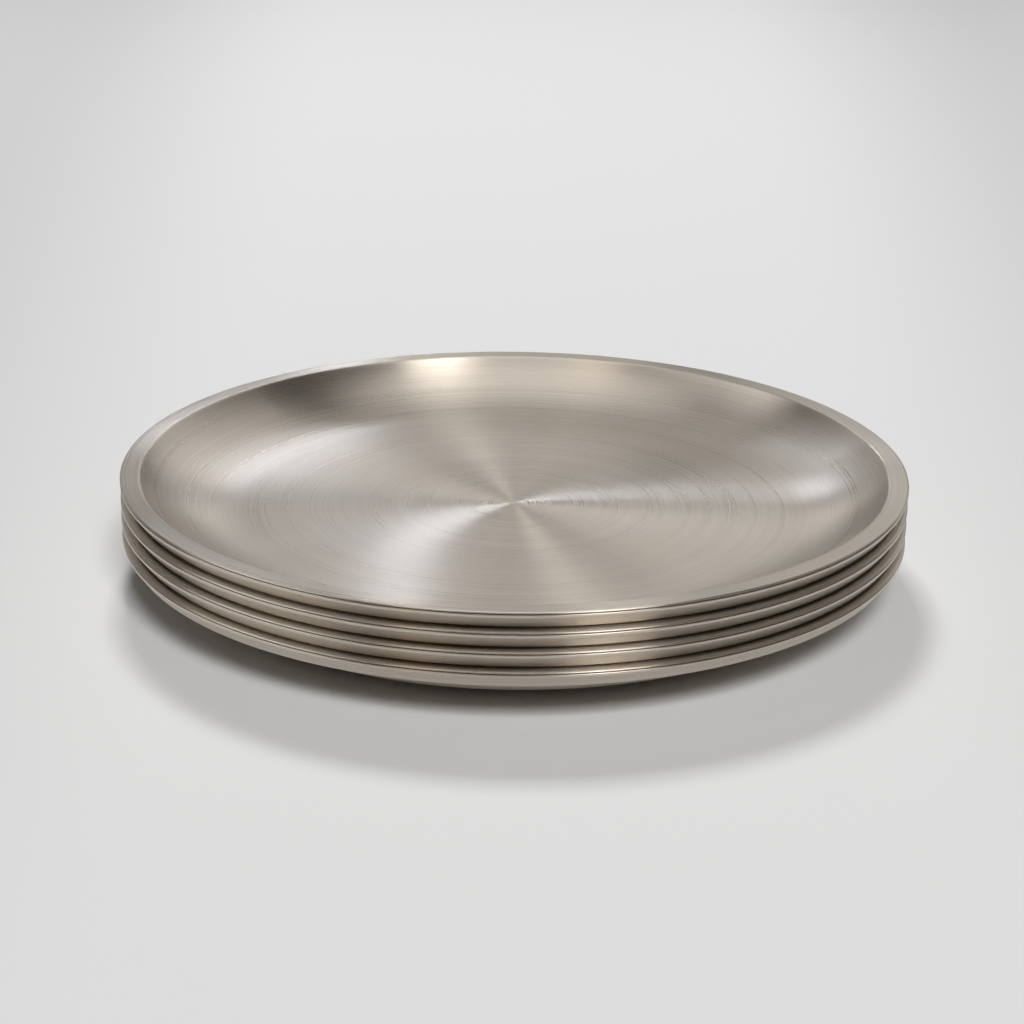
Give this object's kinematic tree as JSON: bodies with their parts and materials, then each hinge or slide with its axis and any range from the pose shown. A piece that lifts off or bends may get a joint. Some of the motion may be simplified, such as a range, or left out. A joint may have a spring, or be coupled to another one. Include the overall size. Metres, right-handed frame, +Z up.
{
  "type": "stack of steel dinner plates",
  "caption": "Stack of nested round double-walled brushed-steel dinner plates with flat floors, curved walls and narrow flat rims; each plate lifts straight up off the plate below.",
  "frame": {"origin": "middle of the bottom plate's flat base, on the surface that the stack stands on", "axes": "+Z up along the plates' common axis; +X and +Y lie in the base plane, and -Y is the side nearest the camera in the picture"},
  "size_m": [0.26, 0.26, 0.039],
  "materials": {
    "brushed_steel": "satin stainless steel, brushed in circles round the plate's axis"
  },
  "bodies": {
    "bottom_plate": {"bottom_shell": "brushed_steel", "bottom_dish": "brushed_steel"},
    "second_plate": {"second_shell": "brushed_steel", "second_dish": "brushed_steel"},
    "third_plate": {"third_shell": "brushed_steel", "third_dish": "brushed_steel"},
    "top_plate": {"top_shell": "brushed_steel", "top_dish": "brushed_steel"}
  },
  "joints": [
    {"name": "second_plate_lift", "type": "slide", "parent": "bottom_plate", "child": "second_plate", "axis": [0, 0, 1], "range_m": [0, 0.05]},
    {"name": "third_plate_lift", "type": "slide", "parent": "second_plate", "child": "third_plate", "axis": [0, 0, 1], "range_m": [0, 0.05]},
    {"name": "top_plate_lift", "type": "slide", "parent": "third_plate", "child": "top_plate", "axis": [0, 0, 1], "range_m": [0, 0.05]}
  ]
}
